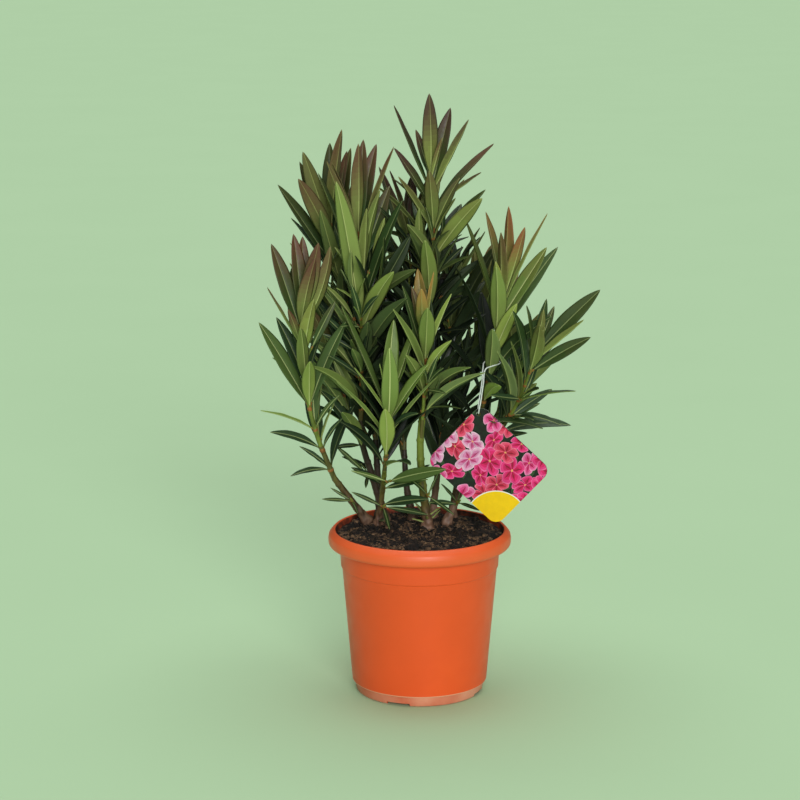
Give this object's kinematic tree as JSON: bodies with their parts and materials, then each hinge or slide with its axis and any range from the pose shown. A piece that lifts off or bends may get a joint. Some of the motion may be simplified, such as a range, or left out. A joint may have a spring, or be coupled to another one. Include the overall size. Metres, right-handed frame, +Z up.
{
  "type": "potted oleander",
  "caption": "Young evergreen shrub with upright leafy shoots, growing in a round terracotta-coloured plastic nursery pot with a hanging picture tag.",
  "frame": {"origin": "centre of the pot's flat underside, on the ground that it stands on", "axes": "+Z up from the underside to the top leaf, +X to the right as seen from the front, where the tag hangs, and +Y to the back"},
  "size_m": [0.39, 0.3049, 0.7],
  "materials": {
    "pot": "moulded plastic with a soft sheen, terracotta orange",
    "soil": "moist peat and bark compost, dark brown, crumbly",
    "stem": "smooth young bark, brown at the foot and green above",
    "foliage": "leathery leaves, dark green above and paler below, young tips bronze",
    "tag": "printed plastic card, pink flowers on dark green",
    "tie": "translucent pale plastic cord"
  },
  "bodies": {
    "root": {"pot": "pot", "soil": "soil", "stem_top": "stem", "stem_rear_left": "stem", "stem_mid_left": "stem", "stem_left": "stem", "stem_front": "stem", "stem_right": "stem", "stem_far_right": "stem", "stem_rear": "stem", "stem_rear_right": "stem", "shoot_top": "foliage", "shoot_rear_left": "foliage", "shoot_mid_left": "foliage", "shoot_left": "foliage", "shoot_front": "foliage", "shoot_centre": "foliage", "shoot_right": "foliage", "shoot_far_right": "foliage", "shoot_rear": "foliage", "shoot_rear_right": "foliage", "shoot_back_left": "foliage", "shoot_back": "foliage", "shoot_back_right": "foliage", "shoot_side_right": "foliage", "shoot_side_left": "foliage", "sprig_front": "foliage", "sprig_foot": "foliage", "sprig_left": "foliage", "sprig_mid": "foliage", "sprig_main": "foliage", "sprig_right": "foliage", "tag": "tag", "tag_tie": "tie"}
  },
  "joints": []
}
